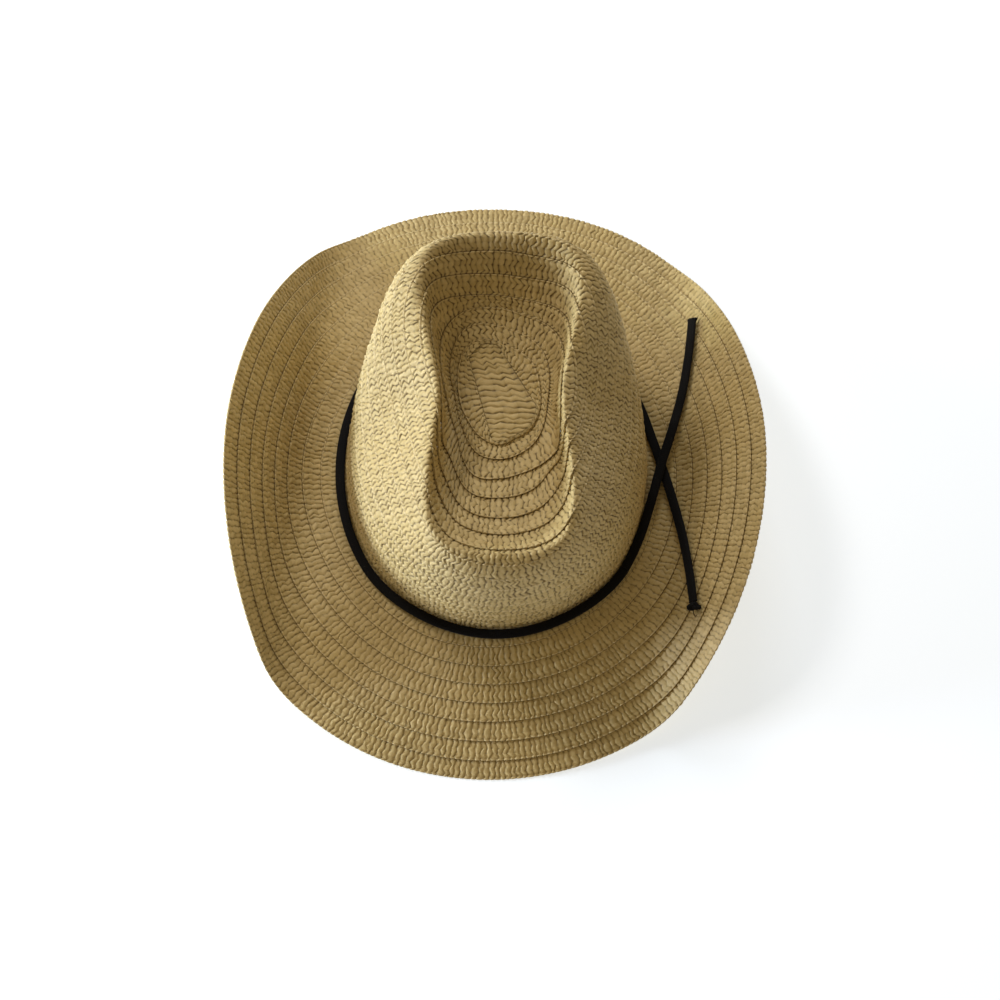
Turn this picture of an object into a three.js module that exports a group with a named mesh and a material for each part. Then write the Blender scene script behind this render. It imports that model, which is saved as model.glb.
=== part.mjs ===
import * as THREE from 'three';

// Straw hat with a long dent in the crown and a brim turned up at both sides.
// Millimetres, +Z up, the front of the hat towards -Y, resting on Z = 0.

// Driving dimensions
const FOOT_HALF_WIDTH = 86;
const FOOT_HALF_LENGTH = 101;
const CROWN_HEIGHT = 104;
const CROWN_LEAN = 2.5;
const STRAW_WALL = 2;
const PIECE_GAP = 0.3;
const BRIM_WIDTH = 82;
const BRIM_SINK = 18.3;
const BRIM_SHIFT_Y = -1.5;
const LACE_WIDTH = 5.4;
const LACE_THICKNESS = 2.4;
const BAND_STANDOFF = 0.5;
const BAND_LIFT = 0.55;
const KNOT_WIDTH = 9.2;
const KNOT_LENGTH = 5.2;
const KNOT_THICKNESS = 3.6;

// Mesh fineness
const CROWN_COLUMNS = 60;
const CROWN_STEPS = 24;
const BRIM_COLUMNS = 84;
const BAND_STEPS = 62;
const TAIL_STEPS = 25;
const TAIL_POINTS = 25;

// Rings of the crown from the middle of the dent down to the foot.
// Widths are shares of FOOT_HALF_WIDTH, centre and length of FOOT_HALF_LENGTH,
// heights of CROWN_HEIGHT; square is the exponent of the ring's outline.
const CROWN_RINGS = [
  { ring: 'tip', widthFront: 0.02, widthSide: 0.02, widthBack: 0.02, centre: 0.14, length: 0.1,
    square: 2, heightFront: 0.7, heightSide: 0.7, heightBack: 0.7 },
  { ring: 'oval', widthFront: 0.27, widthSide: 0.27, widthBack: 0.27, centre: 0.14, length: 0.31,
    square: 2.3, heightFront: 0.7, heightSide: 0.69, heightBack: 0.7 },
  { ring: 'floor', widthFront: 0.37, widthSide: 0.33, widthBack: 0.4, centre: 0.035, length: 0.6,
    square: 3, heightFront: 0.755, heightSide: 0.73, heightBack: 0.76 },
  { ring: 'dent wall', widthFront: 0.45, widthSide: 0.35, widthBack: 0.49, centre: 0.015, length: 0.775,
    square: 3.6, heightFront: 0.86, heightSide: 0.88, heightBack: 0.93 },
  { ring: 'crest', widthFront: 0.51, widthSide: 0.375, widthBack: 0.58, centre: 0.03, length: 0.88,
    square: 3.8, heightFront: 0.955, heightSide: 1.04, heightBack: 1.1 },
  { ring: 'slope', widthFront: 0.68, widthSide: 0.64, widthBack: 0.92, centre: 0.012, length: 0.965,
    square: 2.5, heightFront: 0.84, heightSide: 0.765, heightBack: 1.0 },
  { ring: 'shoulder', widthFront: 0.93, widthSide: 0.93, widthBack: 1, centre: 0, length: 0.995,
    square: 2.1, heightFront: 0.52, heightSide: 0.48, heightBack: 0.66 },
  { ring: 'waist', widthFront: 0.985, widthSide: 0.985, widthBack: 1, centre: 0, length: 1,
    square: 2, heightFront: 0.2, heightSide: 0.2, heightBack: 0.2 },
  { ring: 'above foot', widthFront: 1, widthSide: 1, widthBack: 1, centre: 0, length: 1,
    square: 2, heightFront: 0.05, heightSide: 0.05, heightBack: 0.05 },
  { ring: 'foot', widthFront: 1, widthSide: 1, widthBack: 1, centre: 0, length: 1,
    square: 2, heightFront: 0, heightSide: 0, heightBack: 0 },
];

// Width of the brim all round, as shares of BRIM_WIDTH; bearing 0 is the right side, 90 the back.
const BRIM_SHARES = [
  { bearing: -90, share: 0.945 },
  { bearing: -60, share: 0.946 },
  { bearing: -30, share: 0.977 },
  { bearing: 0, share: 0.969 },
  { bearing: 30, share: 0.925 },
  { bearing: 60, share: 0.988 },
  { bearing: 90, share: 0.98 },
  { bearing: 120, share: 1.02 },
  { bearing: 150, share: 1.01 },
  { bearing: 180, share: 1.066 },
  { bearing: 210, share: 1.03 },
  { bearing: 240, share: 0.99 },
];

// Where the flat brim bends: start is the distance from the middle as a share of
// FOOT_HALF_WIDTH (sides) or FOOT_HALF_LENGTH (front, back), slant shifts it per unit of Y,
// run is the length of the bend as a share of BRIM_WIDTH and slope the final slope in degrees.
const BRIM_BENDS = {
  right: { start: 0.995, slant: 0.082, run: 0.4146, slope: 45 },
  left: { start: 1.052, slant: -0.097, run: 0.4146, slope: 54.2 },
  back: { start: 0.594, slant: 0, run: 0.4878, slope: -12.4 },
  front: { start: 0.594, slant: 0, run: 0.4878, slope: -12.9 },
};

// Rows of the brim mesh as shares of the width from foot to edge.
const BRIM_ROWS = [0, 0.06, 0.16, 0.28, 0.4, 0.52, 0.64, 0.76, 0.88, 0.968, 1];

// The lace lies on the brim: across is a share of FOOT_HALF_WIDTH, along of FOOT_HALF_LENGTH.
const UPPER_TAIL = [
  { across: 0.836, along: -0.6079 }, { across: 0.9047, along: -0.4931 }, { across: 0.9674, along: -0.3584 },
  { across: 1.0372, along: -0.1713 }, { across: 1.0988, along: 0.0139 }, { across: 1.1791, along: 0.2238 },
  { across: 1.2558, along: 0.4594 }, { across: 1.3047, along: 0.6832 }, { across: 1.3407, along: 0.9168 },
];
const LOWER_TAIL = [
  { across: 0.843, along: 0.598 }, { across: 0.914, along: 0.4871 }, { across: 0.9814, along: 0.3525 },
  { across: 1.0419, along: 0.1881 }, { across: 1.1012, along: 0.0139 }, { across: 1.1616, along: -0.196 },
  { across: 1.214, along: -0.4307 }, { across: 1.2465, along: -0.6634 }, { across: 1.2616, along: -0.8396 },
];
const LACE_CROSSING = { along: 0.0139, reach: 0.1782 };

const rad = Math.PI / 180;

function ease(q) {
  const c = Math.min(Math.max(q, 0), 1);
  return c * c * (3 - 2 * c);
}

// Point of one crown ring at angle t, counted from the right side towards the back
function ringPoint(row, t) {
  const c = Math.cos(t);
  const s = Math.sin(t);
  const back = ease(s / 0.9);
  const front = ease(-s / 0.9);
  const width = row.widthSide + (row.widthBack - row.widthSide) * back
    + (row.widthFront - row.widthSide) * front;
  const height = row.heightSide + (row.heightBack - row.heightSide) * back
    + (row.heightFront - row.heightSide) * front;
  const round = (Math.abs(c) ** row.square + Math.abs(s) ** row.square) ** (-1 / row.square);
  return new THREE.Vector3(
    width * FOOT_HALF_WIDTH * c * round + CROWN_LEAN * height,
    (row.centre + row.length * s * round) * FOOT_HALF_LENGTH,
    height * CROWN_HEIGHT,
  );
}

const SPANS = CROWN_RINGS.length - 2;

// Outer face of the crown: a quadratic spline through the rings, u from 0 (tip) to SPANS (foot)
function crownPoint(t, u) {
  const i = Math.min(Math.floor(u), SPANS - 1);
  const f = u - i;
  const p0 = ringPoint(CROWN_RINGS[i], t);
  const p1 = ringPoint(CROWN_RINGS[i + 1], t);
  const p2 = ringPoint(CROWN_RINGS[i + 2], t);
  const start = i === 0 ? p0 : p0.add(p1).multiplyScalar(0.5);
  const end = i === SPANS - 1 ? p2 : p2.add(p1).multiplyScalar(0.5);
  return start.multiplyScalar((1 - f) ** 2).addScaledVector(p1, 2 * f * (1 - f)).addScaledVector(end, f * f);
}

// Share of BRIM_WIDTH at angle t, by a smooth closed curve through the table
function brimWidth(t) {
  const n = BRIM_SHARES.length;
  const step = 360 / n;
  const q = ((((t / rad - BRIM_SHARES[0].bearing) % 360) + 360) % 360) / step;
  const i = Math.floor(q);
  const f = q - i;
  const at = (k) => BRIM_SHARES[(i + k + n) % n].share;
  const m0 = (at(1) - at(-1)) / 2;
  const m1 = (at(2) - at(0)) / 2;
  const share = (1 + 2 * f) * (1 - f) ** 2 * at(0) + f * (1 - f) ** 2 * m0
    + f * f * (3 - 2 * f) * at(1) + f * f * (f - 1) * m1;
  return share * BRIM_WIDTH;
}

// Running reach and rise of a strip that starts flat and bends to its final slope
function bendTable(bend, size) {
  const step = BRIM_WIDTH / 160;
  const from = bend.start * size;
  const run = bend.run * BRIM_WIDTH;
  const reach = [0];
  const rise = [0];
  const slopeAt = (s) => rad * bend.slope * ease((s - from) / run);
  for (let s = 0; s < FOOT_HALF_LENGTH + 1.5 * BRIM_WIDTH; s += step) {
    const a = slopeAt(s);
    const b = slopeAt(s + step);
    reach.push(reach[reach.length - 1] + step * (Math.cos(a) + Math.cos(b)) / 2);
    rise.push(rise[rise.length - 1] + step * (Math.sin(a) + Math.sin(b)) / 2);
  }
  const look = (table, s) => {
    const q = Math.max(s, 0) / step;
    const i = Math.min(Math.floor(q), table.length - 2);
    return table[i] + (table[i + 1] - table[i]) * (q - i);
  };
  return { reach: (s) => look(reach, s), rise: (s) => look(rise, s), slant: bend.slant };
}

const bends = {
  right: bendTable(BRIM_BENDS.right, FOOT_HALF_WIDTH),
  left: bendTable(BRIM_BENDS.left, FOOT_HALF_WIDTH),
  back: bendTable(BRIM_BENDS.back, FOOT_HALF_LENGTH),
  front: bendTable(BRIM_BENDS.front, FOOT_HALF_LENGTH),
};

// Bend a flat point x, y that belongs to the foot point bx, by; the foot itself stays level
function bendBrim(x, y, bx, by) {
  const side = x >= 0 ? bends.right : bends.left;
  const end = y >= 0 ? bends.back : bends.front;
  const sx = side.slant * y;
  const sbx = side.slant * by;
  const outX = side.reach(Math.abs(x) - sx) - side.reach(Math.abs(bx) - sbx) + Math.abs(bx) + sx - sbx;
  const outY = end.reach(Math.abs(y)) - end.reach(Math.abs(by)) + Math.abs(by);
  const up = side.rise(Math.abs(x) - sx) - side.rise(Math.abs(bx) - sbx)
    + end.rise(Math.abs(y)) - end.rise(Math.abs(by));
  return new THREE.Vector3(x >= 0 ? outX : -outX, y >= 0 ? outY : -outY, up);
}

// Upper face of the brim at angle t and distance w from the foot of the crown
function brimPoint(t, w) {
  const bx = FOOT_HALF_WIDTH * Math.cos(t);
  const by = FOOT_HALF_LENGTH * Math.sin(t);
  const nx = FOOT_HALF_LENGTH * Math.cos(t);
  const ny = FOOT_HALF_WIDTH * Math.sin(t);
  const n = Math.hypot(nx, ny);
  if (w <= 0) {
    return new THREE.Vector3(bx + w * nx / n, by + w * ny / n, 0);
  }
  return bendBrim(bx + w * nx / n, by + w * ny / n, bx, by);
}

// Unit normal of a surface given as a function of two numbers
function normalOf(point, a, b, da, db, high) {
  const b1 = Math.min(b + db, high);
  const along = point(a + da, b).sub(point(a - da, b));
  const across = point(a, b1).sub(point(a, b1 - 2 * db));
  return across.cross(along).normalize();
}

// Closed body between two grids of points: rows of equal length, each row a closed ring.
// The first rows are joined by a wall, or by a lid when the ring is a slot; so are the last rows.
function shell(outer, inner, lidded) {
  const rows = outer.length;
  const n = outer[0].length;
  const points = [...outer.flat(), ...inner.flat()];
  const base = rows * n;
  const faces = [];
  const quad = (a, b, c, d) => faces.push(a, b, c, a, c, d);
  for (let j = 0; j < rows - 1; j += 1) {
    for (let i = 0; i < n; i += 1) {
      const k = (i + 1) % n;
      quad(j * n + i, (j + 1) * n + i, (j + 1) * n + k, j * n + k);
      quad(base + j * n + i, base + j * n + k, base + (j + 1) * n + k, base + (j + 1) * n + i);
    }
  }
  const last = (rows - 1) * n;
  for (let i = 0; i < n; i += 1) {
    const k = (i + 1) % n;
    quad(last + i, base + last + i, base + last + k, last + k);
    if (!lidded) {
      quad(i, k, base + k, base + i);
    }
  }
  if (lidded) {
    for (let i = 0; i < n / 2; i += 1) {
      const a = i;
      const b = i + 1;
      const c = (n - i - 1) % n;
      const d = (n - i) % n;
      if (a !== d) {
        faces.push(a, b, d, base + a, base + d, base + b);
      }
      if (b !== c) {
        faces.push(b, c, d, base + b, base + d, base + c);
      }
    }
  }
  const geometry = new THREE.BufferGeometry();
  geometry.setAttribute('position', new THREE.Float32BufferAttribute(points.flatMap((p) => p.toArray()), 3));
  geometry.setIndex(faces);
  geometry.computeVertexNormals();
  return geometry;
}

// Crown
function crownGeometry() {
  const outer = [];
  const inner = [];
  const foot = new THREE.Vector3(0, 0, PIECE_GAP);
  for (let j = 0; j <= CROWN_STEPS; j += 1) {
    const u = SPANS * j / CROWN_STEPS;
    outer.push([]);
    inner.push([]);
    for (let i = 0; i < CROWN_COLUMNS; i += 1) {
      const t = -Math.PI / 2 + 2 * Math.PI * i / CROWN_COLUMNS;
      const p = crownPoint(t, u);
      const normal = j === 0
        ? new THREE.Vector3(0, 0, 1)
        : normalOf(crownPoint, t, u, 0.004, 0.01, SPANS);
      const q = p.clone().addScaledVector(normal, -STRAW_WALL);
      if (j === CROWN_STEPS) {
        p.z = foot.z;
        q.z = foot.z;
      }
      outer[j].push(p);
      inner[j].push(q);
    }
  }
  return shell(outer, inner, true);
}

// Brim: its inner edge lies under the wall of the crown, its lowest edge is trimmed flat
function brimGeometry() {
  const top = [];
  const under = [];
  const rows = [-STRAW_WALL / BRIM_WIDTH, ...BRIM_ROWS];
  for (let j = 0; j < rows.length; j += 1) {
    top.push([]);
    under.push([]);
    for (let i = 0; i < BRIM_COLUMNS; i += 1) {
      const t = -Math.PI / 2 + 2 * Math.PI * i / BRIM_COLUMNS;
      const width = brimWidth(t);
      const p = brimPoint(t, rows[j] * width);
      const normal = normalOf(brimPoint, t, rows[j] * width, 0.004, BRIM_WIDTH / 400, width);
      const q = p.clone().addScaledVector(normal, -STRAW_WALL);
      q.z = Math.max(q.z, -BRIM_SINK);
      top[j].push(p);
      under[j].push(q);
    }
  }
  return shell(top, under, false);
}

// Flat lace: rounded section swept along a path
function laceGeometry(path, steps) {
  const r = LACE_THICKNESS / 2;
  const flat = LACE_WIDTH / 2 - r * 0.8;
  const section = new THREE.Shape([
    new THREE.Vector2(-r, -flat),
    new THREE.Vector2(-r * 0.55, -flat - r * 0.66),
    new THREE.Vector2(r * 0.55, -flat - r * 0.66),
    new THREE.Vector2(r, -flat),
    new THREE.Vector2(r, flat),
    new THREE.Vector2(r * 0.55, flat + r * 0.66),
    new THREE.Vector2(-r * 0.55, flat + r * 0.66),
    new THREE.Vector2(-r, flat),
  ]);
  return new THREE.ExtrudeGeometry(section, { steps, bevelEnabled: false, extrudePath: path });
}

// Height of the brim's upper face over a point of the plan, found along the foot's normal
function brimTopAt(x, y) {
  let best = null;
  for (let k = 0; k < 2; k += 1) {
    const wide = k === 0;
    const midT = wide ? Math.atan2(y / FOOT_HALF_LENGTH, x / FOOT_HALF_WIDTH) : best.t;
    const midW = wide ? 0.37 * BRIM_WIDTH : best.w;
    const spanT = wide ? 0.2 : 0.02;
    const spanW = (wide ? 0.42 : 0.036) * BRIM_WIDTH;
    const from = { t: midT, w: midW };
    best = null;
    for (let a = -20; a <= 20; a += 1) {
      for (let b = -20; b <= 20; b += 1) {
        const t = from.t + spanT * a / 20;
        const w = Math.max(from.w + spanW * b / 20, 0);
        const p = brimPoint(t, w);
        const miss = Math.hypot(p.x - x, p.y - y);
        if (best === null || miss < best.miss) {
          best = { t, w, miss, z: p.z };
        }
      }
    }
  }
  return best.z;
}

// Height of a lace's middle line when it lies flat with the gap under both of its edges
function lieOnBrim(x, y, acrossX, acrossY) {
  const h = LACE_WIDTH / 2;
  const z = Math.max(
    brimTopAt(x, y),
    brimTopAt(x + acrossX * h, y + acrossY * h),
    brimTopAt(x - acrossX * h, y - acrossY * h),
  );
  return z + PIECE_GAP + LACE_THICKNESS / 2;
}

// Tail route: a smooth plan through the listed points, laid on the brim; the upper one is
// lifted over the other along the stretch where they cross
function tailPath(points, over) {
  const listed = points.map((row) => {
    return new THREE.Vector3(row.across * FOOT_HALF_WIDTH, row.along * FOOT_HALF_LENGTH, 0);
  });
  const plan = new THREE.CatmullRomCurve3(listed, false, 'centripetal');
  const laid = plan.getSpacedPoints(TAIL_POINTS).map((p, k) => {
    const along = plan.getTangentAt(k / TAIL_POINTS);
    const away = Math.abs(p.y / FOOT_HALF_LENGTH - LACE_CROSSING.along) / LACE_CROSSING.reach - 1;
    const lift = over ? (1 - ease(away)) * (LACE_THICKNESS + 3 * PIECE_GAP) : 0;
    return new THREE.Vector3(p.x, p.y, lieOnBrim(p.x, p.y, along.y, -along.x) + lift);
  });
  laid[0].z = laid[1].z;
  return new THREE.CatmullRomCurve3(laid, false, 'centripetal');
}

// Band: from behind the right side, round the back, the left and the front of the crown's foot
class BandPath extends THREE.Curve {
  constructor(startAngle, endAngle) {
    super();
    this.startAngle = startAngle;
    this.endAngle = endAngle;
  }

  getPoint(q, target = new THREE.Vector3()) {
    const t = this.startAngle + (this.endAngle - this.startAngle) * q;
    const side = LACE_WIDTH / 2 + BAND_STANDOFF;
    const x = (FOOT_HALF_WIDTH + side) * Math.cos(t);
    const y = (FOOT_HALF_LENGTH + side) * Math.sin(t);
    return target.set(x, y, BAND_LIFT + LACE_THICKNESS / 2);
  }
}

// Angle on the band where a tail's first point lies, one gap further on
function bandAngle(row, turn) {
  const side = LACE_WIDTH / 2 + BAND_STANDOFF;
  const x = row.across * FOOT_HALF_WIDTH / (FOOT_HALF_WIDTH + side);
  const y = row.along * FOOT_HALF_LENGTH / (FOOT_HALF_LENGTH + side);
  return Math.atan2(y, x) + turn * PIECE_GAP / FOOT_HALF_WIDTH;
}

// Small flattened knot at the end of the lower tail
function knotGeometry(end, along) {
  const profile = [];
  const n = 8;
  for (let k = 0; k <= n; k += 1) {
    const a = -Math.PI / 2 + Math.PI * k / n;
    profile.push(new THREE.Vector2(k === 0 || k === n ? 0 : Math.cos(a), Math.sin(a)));
  }
  const ball = new THREE.LatheGeometry(profile, 14);
  ball.scale(KNOT_LENGTH / 2, KNOT_WIDTH / 2, KNOT_THICKNESS / 2);
  const turn = new THREE.Matrix4().makeRotationZ(Math.atan2(along.y, along.x));
  ball.applyMatrix4(turn);
  const centre = end.clone().addScaledVector(along, KNOT_LENGTH / 2 + PIECE_GAP);
  centre.z += (KNOT_THICKNESS - LACE_THICKNESS) / 2 + 2 * PIECE_GAP;
  ball.translate(centre.x, centre.y, centre.z);
  return ball;
}

const straw = { color: 0xc8b07a, roughness: 0.85, metalness: 0 };
const black = { color: 0x141414, roughness: 0.9, metalness: 0 };

function part(name, geometry, look) {
  geometry.translate(0, BRIM_SHIFT_Y, BRIM_SINK);
  const mesh = new THREE.Mesh(geometry, new THREE.MeshStandardMaterial(look));
  mesh.name = name;
  return mesh;
}

const upperPath = tailPath(UPPER_TAIL, true);
const lowerPath = tailPath(LOWER_TAIL, false);
const bandPath = new BandPath(bandAngle(LOWER_TAIL[0], 1), 2 * Math.PI + bandAngle(UPPER_TAIL[0], -1));

const group = new THREE.Group();
group.add(part('crown', crownGeometry(), straw));
group.add(part('brim', brimGeometry(), straw));
group.add(part('band', laceGeometry(bandPath, BAND_STEPS), black));
group.add(part('upper_tail', laceGeometry(upperPath, TAIL_STEPS), black));
group.add(part('lower_tail', laceGeometry(lowerPath, TAIL_STEPS), black));
group.add(part('end_knot', knotGeometry(lowerPath.getPointAt(1), lowerPath.getTangentAt(1)), black));

export default group;
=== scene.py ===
"""Straw hat sewn from plaited paper tape, with a black lace round the crown.

Every braid row is a real tape: a closed cross-section carried along its row, with the
strands of the plait raised on it. All shapes are computed with numpy in millimetres in
the hat's own frame and are put into the meshes in metres in the frame of the row.
"""

import math

import bpy
import numpy as np
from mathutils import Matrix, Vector


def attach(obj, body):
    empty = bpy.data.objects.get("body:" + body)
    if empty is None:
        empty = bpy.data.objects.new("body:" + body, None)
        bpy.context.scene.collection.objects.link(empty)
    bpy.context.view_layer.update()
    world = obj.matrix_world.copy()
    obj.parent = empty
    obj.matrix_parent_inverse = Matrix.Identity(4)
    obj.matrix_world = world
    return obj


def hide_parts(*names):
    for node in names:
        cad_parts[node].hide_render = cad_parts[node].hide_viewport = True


bl_info = {
    "name": "Plaited straw hat",
    "version": (1, 0, 0),
    "blender": (4, 5, 0),
    "location": "View3D > Sidebar > Straw hat",
    "description": "Builds the straw braid, the black lace and the studio of a straw hat",
    "category": "Object",
}

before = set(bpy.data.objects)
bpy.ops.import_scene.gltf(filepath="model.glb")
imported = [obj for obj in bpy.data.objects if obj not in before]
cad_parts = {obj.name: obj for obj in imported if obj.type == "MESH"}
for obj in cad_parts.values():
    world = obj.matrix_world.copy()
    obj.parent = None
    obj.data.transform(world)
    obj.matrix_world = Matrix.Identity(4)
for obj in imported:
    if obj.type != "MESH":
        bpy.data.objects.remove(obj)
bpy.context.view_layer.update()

# Sizes repeated from the part's source, in millimetres
FOOT_HALF_WIDTH = 86.0
FOOT_HALF_LENGTH = 101.0
CROWN_HEIGHT = 104.0
CROWN_LEAN = 2.5
PIECE_GAP = 0.3
BRIM_WIDTH = 82.0
LACE_WIDTH = 5.4
LACE_THICKNESS = 2.4

# The lace alone: its outline's exponent, its lanes of yarns, the flare of its cut end and
# the size of its knot, in millimetres
LACE_SQUARE = 2.8
LACE_LANES = 4.0
CUT_FLARE = 0.14
CUT_STRETCH = 2.5
KNOT_HALF_WIDTH = 3.0
KNOT_HALF_LENGTH = 1.55
KNOT_HALF_THICKNESS = 0.62
KNOT_YARN = 1.16

# Where the hat's own frame lies in the frame of the row, in millimetres
HAT_ORIGIN = np.array([0.0, -1.5, 18.3])

# Crown rings: width front, side, back; centre, length; square; height front, side, back
CROWN_RINGS = np.array([
    [0.02, 0.02, 0.02, 0.14, 0.10, 2.0, 0.70, 0.70, 0.70],
    [0.27, 0.27, 0.27, 0.14, 0.31, 2.3, 0.70, 0.69, 0.70],
    [0.37, 0.33, 0.40, 0.035, 0.60, 3.0, 0.755, 0.73, 0.76],
    [0.45, 0.35, 0.49, 0.015, 0.775, 3.6, 0.86, 0.88, 0.93],
    [0.51, 0.375, 0.58, 0.03, 0.88, 3.8, 0.955, 1.04, 1.10],
    [0.68, 0.64, 0.92, 0.012, 0.965, 2.5, 0.84, 0.765, 1.00],
    [0.93, 0.93, 1.00, 0.0, 0.995, 2.1, 0.52, 0.48, 0.66],
    [0.985, 0.985, 1.00, 0.0, 1.0, 2.0, 0.20, 0.20, 0.20],
    [1.0, 1.0, 1.0, 0.0, 1.0, 2.0, 0.05, 0.05, 0.05],
    [1.0, 1.0, 1.0, 0.0, 1.0, 2.0, 0.0, 0.0, 0.0],
])
SPANS = len(CROWN_RINGS) - 2
CROWN_ROWS = 18

# Width of the brim every 30 degrees from the front, as shares of BRIM_WIDTH
BRIM_SHARES = np.array([0.945, 0.946, 0.977, 0.969, 0.925, 0.988, 0.98, 1.02, 1.01, 1.066, 1.03, 0.99])

# Bends of the brim: start, slant, run and final slope in degrees
BRIM_BENDS = {
    "right": (0.995 * FOOT_HALF_WIDTH, 0.082, 0.4146 * BRIM_WIDTH, 45.0),
    "left": (1.052 * FOOT_HALF_WIDTH, -0.097, 0.4146 * BRIM_WIDTH, 54.2),
    "back": (0.594 * FOOT_HALF_LENGTH, 0.0, 0.4878 * BRIM_WIDTH, -12.4),
    "front": (0.594 * FOOT_HALF_LENGTH, 0.0, 0.4878 * BRIM_WIDTH, -12.9),
}
BRIM_ROWS = 9
BRIM_ROW_WIDTH = 10.4

# The foot of the crown and the lace lie this much further in at the very front
FRONT_DRAW = 5.0

# Seams 2 to 8 round the dent, as shares of the arc from the dent to the foot, every 30
# degrees from the right side on; the seams after them are evenly spaced to the foot
SEAMS = np.array([
    [0.117, 0.112, 0.098, 0.109, 0.129, 0.126, 0.111, 0.099, 0.095, 0.098, 0.094, 0.114],
    [0.141, 0.150, 0.144, 0.153, 0.171, 0.153, 0.122, 0.124, 0.141, 0.142, 0.141, 0.147],
    [0.300, 0.225, 0.195, 0.202, 0.212, 0.205, 0.156, 0.154, 0.206, 0.202, 0.200, 0.232],
    [0.380, 0.290, 0.238, 0.237, 0.254, 0.300, 0.270, 0.221, 0.262, 0.262, 0.261, 0.265],
    [0.430, 0.360, 0.301, 0.299, 0.315, 0.365, 0.345, 0.285, 0.321, 0.328, 0.327, 0.335],
    [0.475, 0.420, 0.366, 0.370, 0.379, 0.425, 0.415, 0.350, 0.378, 0.391, 0.389, 0.400],
    [0.520, 0.475, 0.430, 0.434, 0.442, 0.480, 0.475, 0.425, 0.450, 0.468, 0.462, 0.465],
])

# Chosen points of the two free ends of the lace, repeated from the part's source: across as a
# share of FOOT_HALF_WIDTH, along as a share of FOOT_HALF_LENGTH
UPPER_TAIL = np.array([
    [0.836, -0.6079], [0.9047, -0.4931], [0.9674, -0.3584], [1.0372, -0.1713], [1.0988, 0.0139],
    [1.1791, 0.2238], [1.2558, 0.4594], [1.3047, 0.6832], [1.3407, 0.9168],
])
LOWER_TAIL = np.array([
    [0.843, 0.598], [0.914, 0.4871], [0.9814, 0.3525], [1.0419, 0.1881], [1.1012, 0.0139],
    [1.1616, -0.196], [1.214, -0.4307], [1.2465, -0.6634], [1.2616, -0.8396],
])

# Points laid along each free end, and the stretches that its route is divided into
TAIL_POINTS = 25
UPPER_STRETCHES = 28
LOWER_STRETCHES = 26

# Where along the hat the free ends cross and how far the lift reaches, as shares of
# FOOT_HALF_LENGTH, and how far the band stands off the crown and over the brim
CROSSING_ALONG = 0.0139
CROSSING_REACH = 0.1782
BAND_STANDOFF = 0.5
BAND_LIFT = 0.55

# What the lamps are turned to, in metres over the foot of the crown, and the colour of the sky
MIDDLE_OF_HAT = np.array([0.0, 0.0, 0.05])
SKY_COLOUR = (1.0, 0.84, 0.58, 1.0)


# Shapes of the hat


def ease(q):
    """Smooth step: 3 q squared minus 2 q cubed, with q held between 0 and 1."""
    q = np.clip(q, 0.0, 1.0)
    return q * q * (3.0 - 2.0 * q)


def ring_point(ring, t):
    """Point of a crown ring at angle t: a superellipse whose width and height go from the
    side value to the back or front value as the sine of t grows."""
    c, s = np.cos(t), np.sin(t)
    back, front = ease(s / 0.9), ease(-s / 0.9)
    wf, ws, wb, centre, length, square, hf, hs, hb = np.moveaxis(CROWN_RINGS[ring], -1, 0)
    width = ws + (wb - ws) * back + (wf - ws) * front
    height = hs + (hb - hs) * back + (hf - hs) * front
    rho = (np.abs(c) ** square + np.abs(s) ** square) ** (-1.0 / square)
    return np.stack([
        width * FOOT_HALF_WIDTH * c * rho + CROWN_LEAN * height,
        (centre + length * s * rho) * FOOT_HALF_LENGTH,
        height * CROWN_HEIGHT,
    ], -1)


def front_draw(front):
    """How far the foot lies further in, where front is 1 at the very front."""
    return FRONT_DRAW * ease((front - 0.55) / 0.45)


def crown_face(t, u):
    """Outer face of the crown: the clamped quadratic B-spline through the rings, with u from
    0 at the middle of the dent to SPANS at the foot."""
    i = np.clip(np.floor(u).astype(int), 0, SPANS - 1)
    f = (u - i)[..., None]
    p0, p1, p2 = ring_point(i, t), ring_point(i + 1, t), ring_point(i + 2, t)
    start = np.where((i == 0)[..., None], p0, (p0 + p1) / 2)
    end = np.where((i == SPANS - 1)[..., None], p2, (p1 + p2) / 2)
    p = start * (1 - f) ** 2 + p1 * 2 * f * (1 - f) + end * f * f
    p[..., 1] += front_draw(-p[..., 1] / FOOT_HALF_LENGTH) * (1 - ease(p[..., 2] / 60.0))
    return p


def hermite(start, end, start_slope, end_slope, f):
    """Cubic from start to end at f between 0 and 1, with the slopes that it has at both ends:
    start (1 + 2 f)(1 - f)^2 + slope f (1 - f)^2 + end f^2 (3 - 2 f) + slope f^2 (f - 1)."""
    return ((1 + 2 * f) * (1 - f) ** 2 * start + f * (1 - f) ** 2 * start_slope
            + f * f * (3 - 2 * f) * end + f * f * (f - 1) * end_slope)


def closed_curve(samples, q):
    """Closed Catmull-Rom curve through evenly spaced samples, read at q samples from the first."""
    n = len(samples)
    i = np.floor(q).astype(int)
    f = q - i
    a, b, c, d = (samples[(i + k) % n] for k in (-1, 0, 1, 2))
    return hermite(b, c, (c - a) / 2, (d - b) / 2, f)


def seam_share(k, t):
    """Share of the arc where seam k lies at angle t."""
    last = len(SEAMS) + 1
    if k <= last:
        return closed_curve(SEAMS[k - 2], np.degrees(t) / 30.0)
    start = closed_curve(SEAMS[-1], np.degrees(t) / 30.0)
    return start + (1.0 - start) * (k - last) / (CROWN_ROWS - last)


ARC_COLUMNS = 720
ARC_SHARES = 1000


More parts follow.
